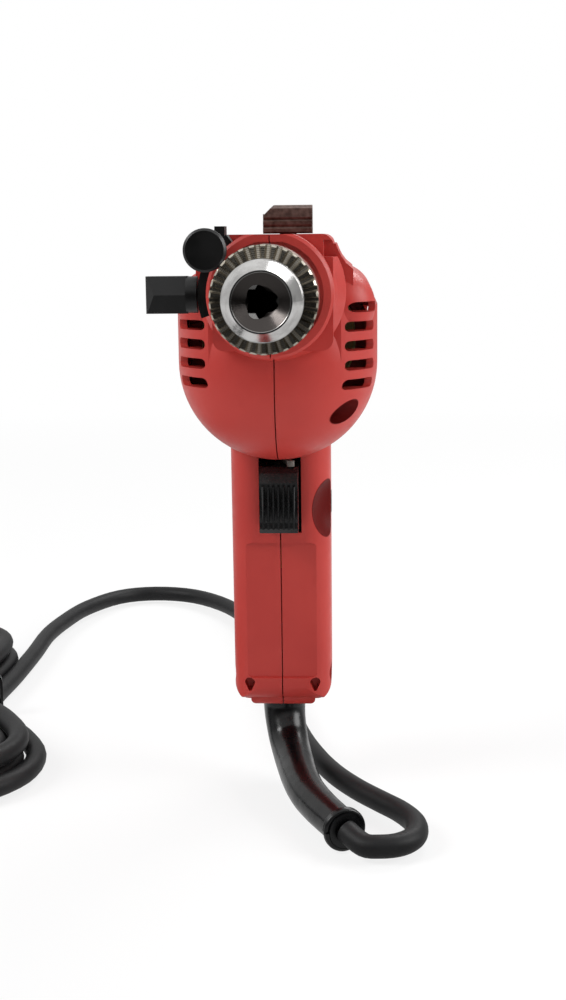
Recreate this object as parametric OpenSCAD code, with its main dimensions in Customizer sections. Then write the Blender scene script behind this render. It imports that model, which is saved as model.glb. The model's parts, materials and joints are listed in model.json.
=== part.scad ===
// Corded pistol-grip drill with keyed chuck, depth stop and mode selector.
// Frame: the spindle lies on the Y axis, the chuck points to -Y, +Z is up.
// The origin is the centre of the round collar behind the chuck.
// Left and right are as the operator behind the drill sees them, so left is +X.

/* [Collar and body] */
// Diameter of the collar that a side handle or a stand clamps
collar_d = 43; // [41:0.5:44]
// Length of the collar
collar_len = 18; // [16:1:20]
// Radius of the motor barrel
barrel_r = 37; // [36:0.5:39]
// Depth of the barrel centre below the spindle
barrel_drop = 26.5; // [25:0.5:28]
// Rear end of the barrel behind the collar centre
barrel_end = 136; // [136:1:146]
// Height of the flat top above the spindle
top_z = 20; // [19.5:0.5:22]
// Half width of the flat top
top_half = 21; // [20:0.5:22]
// Wall of the housing
wall = 2.5; // [2:0.25:3]

/* [Handle] */
// Width of the handle
grip_w = 38.5; // [36:0.5:42]
// Depth of the handle, front to back
grip_d = 44; // [42:1:48]
// Front face of the handle behind the collar centre
grip_y = 50; // [48:1:52]
// Depth of the handle's foot below the spindle
grip_bottom = 164; // [158:1:168]
// Backward lean of the handle in degrees
grip_lean = 3; // [0:0.5:5]

/* [Vents] */
// Number of exhaust slots on each side
vent_count = 5; // [3:1:5]
// Height of one slot
vent_h = 3.7; // [3:0.1:4.2]
// Distance between slots
vent_pitch = 6.9; // [6.5:0.1:7.5]

/* [Chuck] */
// Outer diameter of the toothed sleeve
sleeve_d = 34; // [32:0.5:36]
// Length of the chuck body
chuck_len = 49; // [47:1:52]
// Number of key teeth on the sleeve
key_teeth = 30; // [24:1:32]
// Diameter of the rod that the jaws admit at rest
jaw_open_d = 8.4; // [7:0.2:9.5]
// Diameter of one jaw
jaw_d = 6; // [5:0.5:6.5]
// Slant of the jaws in degrees
jaw_slant = 15; // [13:0.5:16]

/* [Drive] */
// Module of the gear pair
gear_module = 0.8; // [0.7:0.05:0.8]
// Teeth on the spindle gear
gear_teeth = 40; // [38:1:40]
// Teeth on the armature pinion
pinion_teeth = 6; // [6:1:7]
// Diameter of the spindle in its bearing
spindle_d = 10; // [9:0.5:11]
// Outer diameter of the field core
field_d = 58; // [54:1:60]
// Length of the field core
field_len = 42; // [38:1:42]
// Diameter of the armature core
armature_d = 32; // [30:1:33]
// Diameter of the fan
fan_d = 56; // [52:1:58]
// Number of fan blades
fan_blades = 15; // [11:1:19]

/* [Controls] */
// Width of the trigger
trigger_w = 14.4; // [13:0.2:15]
// Height of the trigger
trigger_h = 24.5; // [22:0.5:26]
// Travel of the trigger
trigger_travel = 6; // [4:0.5:7]
// Diameter of the lock button
lock_d = 9; // [8:0.5:10]
// Width of the mode selector
selector_w = 17.8; // [16:0.2:19]
// Distance of the selector from the middle at each end of its slide
selector_shift = 4.3; // [3:0.1:5]

/* [Depth stop] */
// Diameter of the depth rod
rod_d = 5; // [4:0.5:5]
// Length of the depth rod
rod_len = 130; // [110:5:150]
// Diameter of the rod's round end pad
pad_d = 14.4; // [12:0.2:14.4]

/* [Cord] */
// Diameter of the mains cord
cord_d = 8.5; // [7:0.1:8.5]
// Diameter of the bend protector where it leaves the handle
relief_d = 17.8; // [14:0.2:18]
// Diameter of a plug pin
pin_d = 4.8; // [4:0.2:5]

/* [Hidden] */
$fn = 64;

red = [0.72, 0.20, 0.20];
black = [0.09, 0.09, 0.10];
steel = [0.72, 0.72, 0.74];
copper = [0.70, 0.38, 0.22];
brass = [0.78, 0.62, 0.30];
iron = [0.35, 0.35, 0.37];
olive = [0.36, 0.34, 0.20];

collar_r = collar_d / 2;
rim_y = -collar_len / 2;
neck_y = collar_len / 2;
shoulder_r = 32;
barrel_y = 15;
rear_r = 22;
bulge_r = 13.5;
bulge_x = barrel_r - bulge_r - 1;
bulge_z = -5.5;
top_corner = 4;
top_end = 100;
fit = 0.05;
slack = 0.3;

nose_y = rim_y - 54;
chuck_rear = nose_y + chuck_len;
sleeve_r = sleeve_d / 2;
sleeve_y = nose_y + 14;
sleeve_len = 22;
front_r = sleeve_r - 4.3;
body_r = sleeve_r - 3;
rim_r = sleeve_r - 8;
mouth_r = jaw_open_d / 2 - 0.4;
nut_y = sleeve_y + 11;
nut_len = 6;
nut_in_r = front_r - 1.6;
nut_out_r = sleeve_r - 2.2;
jaw_axis_r = jaw_open_d / 2 - 1.5;
jaw_front = 4;
jaw_len = 26;
tooth_depth = 1.6;
tooth_bevel = 14;
thread_r = 6.2;
lock_screw_r = 2.5;
ratchet_in_r = spindle_d / 2 + 2;
gap_turn = 180 / gear_teeth;
ratchet_tooth = 1.4;

// Table height under the held drill, for the cord that lies there
floor_z = -197.5;
cord_z = floor_z + cord_d / 2;
cord_gap = 0.7;
// Bend protector, from the foot of the grip forwards and to the left, as route points
RELIEF_ROUTE = [[0, 0, 0], [0, -1, -10], [3, -13, -21.5], [10.5, -48, -26], [25, -82, -27]];
relief_end_d = 13;
// Free stretch of the cord from the bend protector to the hank
CORD_ROUTE = [
    [31, -10.5], [37, -12], [43, -10.5], [47.5, -6.5], [50, -1], [50.5, 6], [49, 13], [44.5, 22], [38, 31],
    [29, 44], [20, 61], [12, 83], [5, 110], [-3, 155], [-10, 200], [-18, 250], [-28, 298], [-44, 335],
    [-66, 360], [-90, 367], [-111, 358], [-126, 331], [-133, 302], [-137, 271], [-137, 235], [-138, 194]
];
// Hank of the stored length: a bulb at each end, runs drawn in at the tied waist
hank_mid = [-165, 143];
hank_turn = 14;
hank_half = 75;
hank_turns = 3.5;
hank_rings = 24;
bulb_r = 3 * cord_d + 1;
turn_step = cord_d + cord_gap;
waist_step = turn_step + 1.5;
// Short end from the hank to the plug: across, along and height in turn steps, from the hank's middle
TAIL_ROUTE = [
    [-24, 17, 1], [-32, 36, 1], [-44, 56, 1], [-58, 66, 0.5], [-76, 60, 0.1], [-87, 42, 0.3],
        [-90, 22, 0.8],
    [-90, 12, 0.9]
];
plug_w = 37;
plug_h = 24;
plug_len = 36;
pin_len = 19;
pin_gap = 19;
tie_w = 5;
tie_t = 1.2;

motor_z = -gear_module * (gear_teeth + pinion_teeth) / 2;
pitch_r = gear_module * gear_teeth / 2;
pinion_r = gear_module * pinion_teeth / 2;
gear_y = 19;
gear_w = 8;
gear_bore_d = spindle_d + 1;
plate_y = gear_y + gear_w + 2;
plate_t = 7;
bush_d = spindle_d + 6;
bearing_w = 8;
bearing_d = 26;
bearing_y = -2;
ratchet_y = bearing_y + bearing_w + 2;

fan_y = plate_y + plate_t + 2;
fan_w = 10;
core_y = fan_y + fan_w + 6;
shaft_d = 8;
comm_y = core_y + field_len + 6;
comm_d = 22;
comm_len = 13;
coil_r = armature_d / 2 + 1;
window_r = field_d / 2 - 6;
coil_t = window_r - coil_r - 2.4;
coil_side = sqrt(pow(window_r, 2) - pow(coil_r + coil_t, 2)) - 1.6;
brush_holder_d = 9;
brush_holder_h = 7.6;
motor_bearing_d = 19;
motor_bearing_w = 6;
rear_bearing_y = comm_y + comm_len + 4;

switch_w = 23;
switch_y = grip_y + 8;
switch_d = 26;
rod_x = -top_half;
rod_z = 15;
channel_h = rod_d + 0.8;
channel_x = top_half - rod_d / 2 - 0.8;
rod_front = -12;
pad_w = 4;
bracket_y = -4;
bracket_w = 10;
bracket_t = 3;
wing_y = bracket_y + bracket_w / 2;
wing_z = 0;
wing_len = 13.8;
neck_len = 3.8;
lever_y = switch_y + 4;
lever_len = 20;
lever_turn = 13;
lock_inner_x = 10.2;

grip_r = 10;
grip_top = -48;
grip_mid_y = grip_y + grip_d / 2;
screw_d = 3.6;
head_r = 3.4;
// Screws as distance along Y, height, and 1 where the far side has a pocket too
SCREWS = [
    [28, -43.5, 0], [plate_y + plate_t / 2 + 1.5, 13, 0], [124, -1, 0], [124, -44, 0], [88, -67.5, 0],
        [66, -152, 1], [93, -146, 1]
];
trigger_top = -66;
trigger_y = grip_y - 13;
slot_w = trigger_w + 1.8;
slot_top = trigger_top + 3.1;
slot_bottom = trigger_top - trigger_h - 2.6;
lock_y = grip_y + 24;
lock_z = -84.5;
dish_r = 17;
dish_x = grip_w / 2 + 10;
dish_y = grip_y + 1;
channel_end = 16;
seam = 0.4;
foot_hole_x = grip_w / 2 - 6.4;
foot_hole_z = -grip_bottom + 11;
selector_y = 46;
selector_h = 10.5;
stem_w = 6;
head_x = 8;
boss_depth = 13;
relief_neck_r = relief_d / 2 - 2;
wing_hole_d = 5;

module along_y(y) {
    translate([0, y, 0]) rotate([-90, 0, 0]) children();
}

module slab_y(y, len) {
    translate([0, y + len, 0]) rotate([90, 0, 0]) linear_extrude(len) children();
}

module slab_x(x, len) {
    translate([x, 0, 0]) rotate([90, 0, 90]) linear_extrude(len) children();
}

module round_rect(w, h, r) {
    square([w - 2 * r, h], center = true);
    square([w, h - 2 * r], center = true);
    for (x = [-1, 1], y = [-1, 1]) translate([x * (w / 2 - r), y * (h / 2 - r)]) circle(r);
}

module on_motor() {
    translate([0, 0, motor_z]) children();
}

module lean() {
    translate([0, grip_mid_y, grip_top]) rotate([grip_lean, 0, 0])
        translate([0, -grip_mid_y, -grip_top]) children();
}

module barrel_profile(inset) {
    intersection() {
        union() {
            translate([barrel_r - shoulder_r, barrel_y + shoulder_r])
                circle(shoulder_r - inset, $fn = 128);
            translate([barrel_r - rear_r, barrel_end - rear_r]) circle(rear_r - inset);
            translate([0, barrel_y + inset]) square([barrel_r - shoulder_r, shoulder_r]);
            translate([0, barrel_y + shoulder_r])
                square([barrel_r - inset, barrel_end - rear_r - barrel_y - shoulder_r]);
            translate([0, barrel_y + shoulder_r])
                square([barrel_r - rear_r, barrel_end - inset - barrel_y - shoulder_r]);
        }
        square([barrel_r, barrel_end]);
    }
}

module nose_profile(inset) {
    polygon([
        [0, rim_y], [collar_r - 1 - inset, rim_y], [collar_r - inset, rim_y + 1],
            [collar_r - inset, neck_y],
        [collar_r + 1 - inset, neck_y + 3], [collar_r + 4 - inset, neck_y + 9],
            [collar_r + 4 - inset, neck_y + 30],
        [0, neck_y + 30]
    ]);
}

module shoulder_bulges(inset) {
    for (side = [-1, 1]) translate([side * bulge_x, 0, bulge_z]) {
        along_y(barrel_y + 20) cylinder(h = 80, r = bulge_r - inset);
        translate([0, barrel_y + 20, 0]) sphere(bulge_r - inset);
        translate([0, barrel_y + 100, 0]) sphere(bulge_r - inset);
    }
    // Upright sides between the bulges and the round belly
    translate([0, 0, -barrel_drop]) linear_extrude(barrel_drop + bulge_z) intersection() {
        for (side = [0, 1]) mirror([side, 0]) barrel_profile(inset);
        translate([-60, barrel_y + 6]) square([120, 114]);
    }
    translate([-bulge_x, barrel_y + 17 + inset, -barrel_drop])
        cube([2 * bulge_x, 83 - 2 * inset, barrel_drop + bulge_z + bulge_r - inset]);
    // Hollowed flanks from the top block down to the bulges
    slab_y(barrel_y + 10 + inset, 85 - 2 * inset) for (side = [0, 1]) mirror([side, 0]) polygon([
        [top_half - 4, top_z - 3], [top_half + 0.8 - inset, top_z - 3.5],
            [top_half + 1.8 - inset, top_z - 6],
        [top_half + 2.8 - inset, top_z - 8], [top_half + 4.4 - inset, top_z - 10.2],
        [top_half + 7 - inset, top_z - 12.4 - inset], [top_half + 7 - inset, bulge_z],
            [top_half - 4, bulge_z]
    ]);
}

module top_block(inset) {
    height = top_z + 20;
    slab_y(neck_y + inset, top_end - neck_y - 2 * inset)
        translate([0, top_z - height / 2])
            round_rect(2 * (top_half - inset), height - 2 * inset, top_corner - inset / 2);
}

module handle_form(inset) {
    height = grip_bottom + grip_top;
    lean() intersection() {
        translate([0, grip_mid_y, -grip_bottom + inset])
            linear_extrude(height + 20 - inset)
                round_rect(grip_w - 2 * inset, grip_d - 2 * inset, grip_r - inset);
        // Rounded foot with a narrower lip under it, seen from the front
        slab_y(0, 150) foot_outline(0, grip_w, inset, 13);
        slab_x(-40, 80) foot_outline(grip_mid_y, grip_d, inset, 8);
    }
}

module foot_outline(middle, width, inset, lip) {
    height = grip_bottom + grip_top + 30;
    translate([middle, -grip_bottom + 3.2 + inset + height / 2])
        round_rect(width - 2 * inset, height, 6);
    translate([middle, -grip_bottom + inset + height / 2])
        round_rect(width - lip - 2 * inset, height, 3);
}

module body_form(inset) {
    translate([0, 0, -barrel_drop]) along_y(0) rotate_extrude($fn = 128) barrel_profile(inset);
    intersection() {
        along_y(0) rotate_extrude($fn = 128) nose_profile(inset);
        translate([-60, -60, -60]) cube([120, 120, 60 + top_z - inset]);
    }
    shoulder_bulges(inset);
    top_block(inset);
    handle_form(inset);
}

module rod_channels(margin) {
    // Long groove for the depth rod, and a short blind one that matches it on the other side
    translate([-channel_x - 20 + margin, neck_y - 1, rod_z - channel_h / 2 - margin])
        cube([20, 124, channel_h + 2 * margin]);
    translate([channel_x - margin, neck_y - 1, rod_z - channel_h / 2 - margin])
        cube([20, channel_end + margin, channel_h + 2 * margin]);
}

module vent_cuts() {
    for (side = [-1, 1], i = [0 : vent_count - 1])
        slab_x(side > 0 ? 14 : -14 - 40, 40)
            translate([barrel_y + 14.5, -5.8 - i * vent_pitch + (side < 0 ? 1 : 0)])
                round_rect(15, vent_h, 1.6);
    for (side = [-1, 1], i = [0 : 4])
        slab_x(side > 0 ? 20 : -20 - 40, 40)
            translate([118, motor_z + 14 - i * vent_pitch]) round_rect(13, 3.2, 1.5);
}

module screw_cuts() {
    for (p = SCREWS) translate([0, p[0], p[1]]) {
        translate([-boss_depth, 0, 0]) rotate([0, 90, 0]) cylinder(h = 2 * boss_depth, d = screw_d);
        translate([head_x, 0, 0]) rotate([0, 90, 0]) cylinder(h = 60, r = head_r + 1);
        if (p[2] == 1) translate([-head_x - 60, 0, 0]) rotate([0, 90, 0]) cylinder(h = 60, r = head_r);
    }
}

module screw_bosses() {
    for (p = SCREWS) translate([-40, p[0], p[1]]) rotate([0, 90, 0]) cylinder(h = 80, r = head_r + 2.6);
}

module inner_ribs() {
    // Front bearing wall in the collar
    along_y(bearing_y - 2) cylinder(h = bearing_w + 4, r = collar_r - 1);
    // Plate between gears and fan, with the seats of the bush and the front motor bearing
    slab_y(plate_y, plate_t) translate([0, -barrel_drop]) square([90, 100], center = true);
    // Two ribs that hold the field core
    for (y = [core_y + 5, core_y + field_len - 8])
        slab_y(y, 3) translate([0, -barrel_drop]) circle(barrel_r);
    // Upright rib that holds the rear motor bearing
    slab_y(rear_bearing_y, motor_bearing_w) translate([-14, -58]) square([28, 64]);
    // Sockets that carry the brush holders
    on_motor() for (side = [-1, 1]) translate([side * 32, comm_y + comm_len / 2, 0])
        cube([20, 14, 13], center = true);
    // Shelves above and below the switch
    for (z = [slot_top + 1, slot_bottom - 3]) translate([-40, grip_y, z]) cube([80, 60, 2]);
    screw_bosses();
    rod_channels(wall);
    // Walls behind the thumb dish and the foot's hollows
    translate([dish_x, dish_y, lock_z]) sphere(dish_r + 1.6, $fn = 96);
    lean() for (side = [-1, 1]) translate([side * foot_hole_x, grip_y, foot_hole_z]) rotate([-90, 0, 0])
        cylinder(h = 7.5, r = 5.5);
}

module inner_seats() {
    along_y(bearing_y) cylinder(h = bearing_w, d = bearing_d);
    along_y(bearing_y - 10) cylinder(h = gear_y - bearing_y + 8, r = bearing_d / 2 - 2);
    along_y(plate_y - 1) cylinder(h = plate_t + 2, d = bush_d);
    on_motor() {
        along_y(plate_y) cylinder(h = motor_bearing_w, d = motor_bearing_d);
        along_y(plate_y - 1) cylinder(h = plate_t + 2, r = motor_bearing_d / 2 - 2);
        along_y(core_y - 1) cylinder(h = field_len + 2, d = field_d);
        along_y(rear_bearing_y) cylinder(h = motor_bearing_w, d = motor_bearing_d);
        along_y(rear_bearing_y - 10) cylinder(h = motor_bearing_w + 8, r = motor_bearing_d / 2 - 2);
    }
    // Room for the switch, its wires and the cord
    translate([-switch_w / 2, switch_y, slot_bottom - 16])
        cube([switch_w, switch_d, slot_top - slot_bottom + 17]);
    // Sockets of the brush holders
    on_motor() for (side = [-1, 1]) translate([side * 34, comm_y + comm_len / 2, 0])
        cube([26, brush_holder_d, brush_holder_h], center = true);
    lean() translate([0, grip_mid_y, -grip_bottom - 1]) cylinder(h = 80, r = relief_neck_r);
}

module outer_cuts() {
    rod_channels(0);
    vent_cuts();
    screw_cuts();
    translate([-slot_w / 2, grip_y - 12, slot_bottom])
        cube([slot_w, 12 + switch_y - grip_y, slot_top - slot_bottom]);
    // Flat panel pressed into the front of the grip
    lean() slab_y(grip_y - 6, 7) translate([0, -123.5]) round_rect(grip_w - 9, 55, 4);
    // Thumb dish in the front corner, hole of the lock button behind it
    translate([dish_x, dish_y, lock_z]) sphere(dish_r, $fn = 96);
    // Small blind hollows in the foot's front corners
    lean() for (side = [-1, 1]) translate([side * foot_hole_x, grip_y - 1, foot_hole_z])
        rotate([-90, 0, 0]) {
        cylinder(h = 6.5, r = 2);
        linear_extrude(6.5) polygon([[-1.9, 0.6], [1.9, 0.6], [0.5, 3.6], [-0.5, 3.6]]);
    }
    translate([4, lock_y, lock_z]) rotate([0, 90, 0]) cylinder(h = 30, d = lock_d + 2 * slack);
    // Window of the mode selector
    translate([-selector_shift - stem_w / 2 - slack, selector_y - stem_w / 2 - slack, top_z - 12])
        cube([2 * selector_shift + stem_w + 2 * slack, stem_w + 2 * slack, 20]);
    // Threaded hole of the wing screw
    translate([-collar_r - 5, wing_y, wing_z]) rotate([0, 90, 0]) cylinder(h = 10, d = wing_hole_d);
}

module housing() {
    difference() {
        body_form(0);
        difference() {
            body_form(wall);
            inner_ribs();
        }
        inner_seats();
        outer_cuts();
    }
}

module housing_left() {
    color(red) intersection() {
        housing();
        translate([seam / 2, -50, -200]) cube([100, 250, 300]);
    }
}

module housing_right() {
    color(red) intersection() {
        housing();
        translate([-100 - seam / 2, -50, -200]) cube([100, 250, 300]);
    }
}

module housing_screws() {
    color(steel) for (p = SCREWS) translate([0, p[0], p[1]]) rotate([0, 90, 0]) {
        translate([0, 0, -boss_depth + 2]) cylinder(h = boss_depth + head_x - 2, d = screw_d - 2 * fit);
        difference() {
            translate([0, 0, head_x]) cylinder(h = 2.4, r = head_r);
            for (a = [0, 90]) rotate([0, 0, a]) translate([-2, -0.5, head_x + 1.2]) cube([4, 1, 2]);
        }
    }
}

function turned(p, a) = [p[0] * cos(a) - p[1] * sin(a), p[0] * sin(a) + p[1] * cos(a)];

module tooth_ring(teeth, root_r, tip_r, root_half, tip_half) {
    tooth = [[root_half, root_r], [tip_half, tip_r], [-tip_half, tip_r], [-root_half, root_r]];
    polygon([for (i = [0 : teeth - 1], p = tooth) turned(p, i * 360 / teeth)]);
}

module spindle() {
    color(steel) difference() {
        union() {
            // Threaded nose, bearing journal, shoulder, gear seat and rear journal
            along_y(chuck_rear - 14) cylinder(h = 14, r = thread_r);
            along_y(chuck_rear) cylinder(h = bearing_y - chuck_rear - 0.2, d = spindle_d + 4);
            along_y(bearing_y - 1) cylinder(h = bearing_w + 2, d = spindle_d);
            along_y(bearing_y + bearing_w + 0.2)
                cylinder(h = gear_y - bearing_y - bearing_w - 0.2, d = spindle_d + 3);
            along_y(gear_y) cylinder(h = gear_w, d = gear_bore_d);
            along_y(gear_y + gear_w)
                cylinder(h = plate_y + plate_t - gear_y - gear_w - 1, d = spindle_d - 1);
        }
        // Thread of the screw that locks the chuck
        along_y(chuck_rear - 15) cylinder(h = 12, r = lock_screw_r);
    }
}

module spindle_bearing() {
    color(steel) difference() {
        along_y(bearing_y) cylinder(h = bearing_w, d = bearing_d);
        along_y(bearing_y - 1) cylinder(h = bearing_w + 2, d = spindle_d + 2 * fit);
        // Shields set back from both faces
        for (y = [bearing_y - 1, bearing_y + bearing_w - 0.6]) along_y(y) difference() {
            cylinder(h = 1.6, r = bearing_d / 2 - 2.5);
            translate([0, 0, -1]) cylinder(h = 4, r = spindle_d / 2 + 2);
        }
    }
}

module spindle_bush() {
    color(brass) difference() {
        along_y(plate_y) cylinder(h = plate_t, d = bush_d);
        along_y(plate_y - 1) cylinder(h = plate_t + 2, d = spindle_d - 1 + 2 * fit);
    }
}

module drive_gear() {
    color(iron) difference() {
        slab_y(gear_y, gear_w) rotate(gap_turn)
            tooth_ring(gear_teeth, pitch_r - 0.95, pitch_r + 0.7, 0.66, 0.3);
        along_y(gear_y - 1) cylinder(h = gear_w + 2, d = gear_bore_d);
        // Webs turned out of both faces
        for (y = [gear_y - 1, gear_y + gear_w - 1.5]) along_y(y) difference() {
            cylinder(h = 2.5, r = pitch_r - 3);
            translate([0, 0, -1]) cylinder(h = 5, r = gear_bore_d / 2 + 2.5);
        }
    }
}

module ratchet_teeth(y) {
    for (i = [0 : 11]) along_y(y) rotate([0, 0, i * 30])
        translate([ratchet_in_r + 0.3, -1, 0]) cube([2.6, 2, ratchet_tooth]);
}

module ratchet_ring() {
    color(steel) difference() {
        union() {
            along_y(ratchet_y) cylinder(h = 2.4, r = bearing_d / 2 - 2);
            ratchet_teeth(ratchet_y + 2);
        }
        along_y(ratchet_y - 1) cylinder(h = 8, r = ratchet_in_r);
    }
}

module spindle_ratchet() {
    face = ratchet_y + 2 + 2 * ratchet_tooth + 0.8;
    color(steel) difference() {
        union() {
            along_y(face) cylinder(h = 2.4, r = bearing_d / 2 - 2.4);
            ratchet_teeth(face + 0.4 - ratchet_tooth);
        }
        along_y(face - 4) cylinder(h = 8, d = spindle_d + 3);
    }
}

module jaw_line(i) {
    rotate([0, 90 + i * 120, 0]) translate([0, nose_y + 4, jaw_axis_r])
        rotate([jaw_slant, 0, 0]) children();
}

module jaw_bores(gap) {
    for (i = [0 : 2]) jaw_line(i) along_y(-12)
        cylinder(h = 12 + jaw_front + jaw_len + 6, r = jaw_d / 2 + gap);
}

module chuck_body() {
    color(steel) difference() {
        along_y(0) rotate_extrude($fn = 96) polygon([
            [0, nose_y + 3.4], [mouth_r, nose_y + 3.4], [rim_r, nose_y], [rim_r + 0.5, nose_y],
            [front_r - 0.4, nose_y + 6.4], [front_r, nose_y + 7], [front_r, nut_y + nut_len + 0.2],
            [body_r, nut_y + nut_len + 0.2], [body_r, chuck_rear - 1.5], [body_r - 1.5, chuck_rear],
            [0, chuck_rear]
        ]);
        // Bore for the drill shank, thread for the spindle
        along_y(nose_y - 1) cylinder(h = chuck_len - 14, r = mouth_r);
        along_y(chuck_rear - 14) cylinder(h = 20, r = thread_r);
        jaw_bores(fit);
        // Groove of the split nut
        along_y(nut_y - 0.2) difference() {
            cylinder(h = nut_len + 0.4, r = body_r + 3);
            translate([0, 0, -1]) cylinder(h = nut_len + 3, r = nut_in_r - 0.2);
        }
        // Pilot holes of the key
        for (a = [30, 150, 270]) rotate([0, a, 0]) translate([0, sleeve_y - 3.6, 8])
            cylinder(h = 10, r = 2.5);
    }
}

module chuck_sleeve() {
    sleeve_end = sleeve_y + sleeve_len;
    color(steel) difference() {
        along_y(0) rotate_extrude($fn = 112) polygon([
            [front_r + 0.1, sleeve_y], [sleeve_r - 0.6, sleeve_y + 0.4], [sleeve_r, sleeve_y + 1.2],
            [sleeve_r, sleeve_end - 1], [sleeve_r - 1, sleeve_end], [body_r + 0.1, sleeve_end],
            [body_r + 0.1, nut_y + nut_len], [nut_out_r, nut_y + nut_len], [nut_out_r, nut_y],
            [front_r + 0.1, nut_y]
        ]);
        // Key teeth cut across the front edge, deeper towards the outside
        for (i = [0 : key_teeth - 1]) rotate([0, (i + 0.5) * 360 / key_teeth, 0])
            translate([0, sleeve_y, front_r - 1]) rotate([-tooth_bevel, 0, 0]) linear_extrude(8)
                polygon([[-1.25, -1.5], [1.25, -1.5], [0.42, tooth_depth], [-0.42, tooth_depth]]);
    }
}

// Distance from the axis to the outside of the slanted jaws at one place along it
function jaw_reach(y) = jaw_axis_r + (y - nose_y - 4) * tan(jaw_slant) + jaw_d / 2 / cos(jaw_slant);

module chuck_nut() {
    color(iron) difference() {
        along_y(nut_y) cylinder(h = nut_len, r = nut_out_r);
        along_y(nut_y) cylinder(h = nut_len, r1 = jaw_reach(nut_y) + fit,
            r2 = jaw_reach(nut_y + nut_len) + fit);
    }
}

module chuck_jaw(i) {
    color(steel) intersection() {
        jaw_line(i) along_y(jaw_front) cylinder(h = jaw_len, d = jaw_d);
        // Two gripping flats that meet in an edge towards the axis
        rotate([0, 90 + i * 120, 0]) slab_y(nose_y - 5, 60) translate([0, jaw_open_d / 2])
            polygon([[0, 0], [12, 12 / sqrt(3)], [12, 30], [-12, 30], [-12, 12 / sqrt(3)]]);
    }
}

module armature_shaft() {
    color(steel) on_motor() {
        slab_y(gear_y - 1, gear_w + 1.5)
            tooth_ring(pinion_teeth, pinion_r - 0.95, pinion_r + 0.65, 0.6, 0.25);
        along_y(gear_y + gear_w + 0.5)
            cylinder(h = rear_bearing_y + motor_bearing_w - gear_y - gear_w - 0.5, d = shaft_d);
    }
}

module armature_core() {
    slots = 12;
    color(iron) on_motor() difference() {
        union() {
            along_y(core_y + 1) cylinder(h = field_len - 2, d = armature_d);
            // Wound ends of the coils
            for (y = [core_y - 3.5, core_y + field_len - 1])
                along_y(y) cylinder(h = 4.5, r1 = armature_d / 2 - 3, r2 = armature_d / 2 - 3);
        }
        along_y(core_y - 5) cylinder(h = field_len + 10, d = shaft_d);
        for (i = [0 : slots - 1]) along_y(core_y) rotate([0, 0, i * 360 / slots])
            translate([armature_d / 2 - 4, -0.9, 0]) cube([6, 1.8, field_len]);
    }
}

module commutator() {
    bars = 24;
    color(copper) on_motor() difference() {
        along_y(comm_y) cylinder(h = comm_len, d = comm_d);
        along_y(comm_y - 1) cylinder(h = comm_len + 2, d = shaft_d);
        for (i = [0 : bars - 1]) along_y(comm_y + 1.5) rotate([0, 0, i * 360 / bars])
            translate([comm_d / 2 - 0.8, -0.25, 0]) cube([2, 0.5, comm_len]);
    }
}

module fan() {
    hub_r = 10;
    color(olive) on_motor() difference() {
        union() {
            along_y(fan_y) cylinder(h = fan_w, r = hub_r);
            along_y(fan_y + fan_w - 1.5) cylinder(h = 1.5, d = fan_d);
            for (i = [0 : fan_blades - 1]) along_y(fan_y) rotate([0, 0, i * 360 / fan_blades])
                translate([hub_r - 0.5, -0.7, 0]) cube([fan_d / 2 - hub_r - 0.5, 1.4, fan_w - 1]);
        }
        along_y(fan_y - 1) cylinder(h = fan_w + 2, d = shaft_d);
    }
}

module motor_bearings() {
    color(steel) on_motor() for (y = [plate_y, rear_bearing_y]) difference() {
        along_y(y) cylinder(h = motor_bearing_w, d = motor_bearing_d);
        along_y(y - 1) cylinder(h = motor_bearing_w + 2, d = shaft_d + 2 * fit);
    }
}

module pole_window() {
    intersection() {
        circle(r = window_r);
        square([field_d, armature_d - 8], center = true);
    }
}

module field_core() {
    color(iron) on_motor() slab_y(core_y, field_len) difference() {
        intersection() {
            circle(d = field_d);
            square([field_d, field_d - 4], center = true);
        }
        circle(d = armature_d + 1.2);
        pole_window();
    }
}

module coil_half(y, len) {
    slab_y(y, len) difference() {
        circle(r = coil_r + coil_t);
        circle(r = coil_r);
        translate([-40, -80 + 0.4]) square([80, 80]);
    }
}

module field_coils() {
    color(copper) on_motor() for (pole = [0, 180]) rotate([0, pole, 0]) {
        // Sides of the coil in the window, and its end turns outside the core
        for (side = [-1, 1]) slab_y(core_y - 5, field_len + 10)
            translate([side * (coil_r + coil_t / 2) - coil_t / 2, 0.4]) square([coil_t, coil_side]);
        coil_half(core_y - 5, 4.8);
        coil_half(core_y + field_len + 0.2, 4.8);
    }
}

module brush_holders() {
    color(brass) on_motor() for (side = [-1, 1]) difference() {
        translate([side * (comm_d / 2 + 1.5 + 7), comm_y + comm_len / 2, 0])
            cube([14, brush_holder_d, brush_holder_h], center = true);
        translate([side * (comm_d / 2 + 7), comm_y + comm_len / 2, 0]) cube([30, 7, 5.6], center = true);
    }
}

module carbon_brushes() {
    color(black) on_motor() difference() {
        for (side = [-1, 1]) translate([side * (comm_d / 2 + 6.5), comm_y + comm_len / 2, 0])
            cube([14, 7, 5.6], center = true);
        along_y(comm_y - 1) cylinder(h = comm_len + 2, r = comm_d / 2 + fit);
    }
}

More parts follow.
